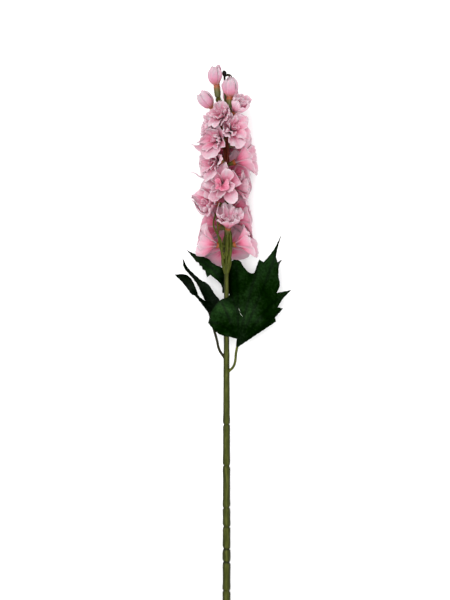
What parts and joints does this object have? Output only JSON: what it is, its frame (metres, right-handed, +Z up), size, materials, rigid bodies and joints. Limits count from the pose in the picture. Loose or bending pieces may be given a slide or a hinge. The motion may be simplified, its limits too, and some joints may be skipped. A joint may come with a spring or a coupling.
{
  "type": "artificial delphinium flower spike",
  "caption": "Artificial delphinium stem lying on its side: a dense spike of pink layered florets and buds above lobed dark green leaves on a moulded green stem.",
  "frame": {"origin": "middle of the footprint, on the surface that the spray lies on", "axes": "+Y from the cut foot of the stem to the tip of the spike, +Z up, +X across, towards the side of the large leaf"},
  "size_m": [0.1405, 0.6746, 0.0776],
  "materials": {
    "moulded_stem": "moulded, satin, olive green",
    "petal_fabric": "thin pressed fabric, matt, pale pink deepening to magenta at the throat",
    "leaf_fabric": "pressed fabric with a slight sheen, very dark green"
  },
  "bodies": {
    "root": {"main_stem": "moulded_stem", "leaf_right": "leaf_fabric", "leaf_left": "leaf_fabric", "floret_foot_left": "petal_fabric", "floret_foot_right": "petal_fabric", "floret_second_front": "petal_fabric", "floret_second_right": "petal_fabric", "floret_second_left": "petal_fabric", "floret_main_front": "petal_fabric", "floret_main_right": "petal_fabric", "floret_third_left": "petal_fabric", "floret_third_right": "petal_fabric", "floret_fourth_left": "petal_fabric", "floret_top_left": "petal_fabric", "floret_top_right": "petal_fabric", "floret_top_front": "petal_fabric", "floret_under_1": "petal_fabric", "floret_under_2": "petal_fabric", "floret_under_3": "petal_fabric", "floret_under_4": "petal_fabric", "floret_under_5": "petal_fabric", "floret_under_6": "petal_fabric", "floret_under_7": "petal_fabric", "floret_under_8": "petal_fabric", "bud_right": "petal_fabric", "bud_left": "petal_fabric", "bud_front": "petal_fabric", "bud_tall": "petal_fabric", "bud_under": "petal_fabric"}
  },
  "joints": []
}
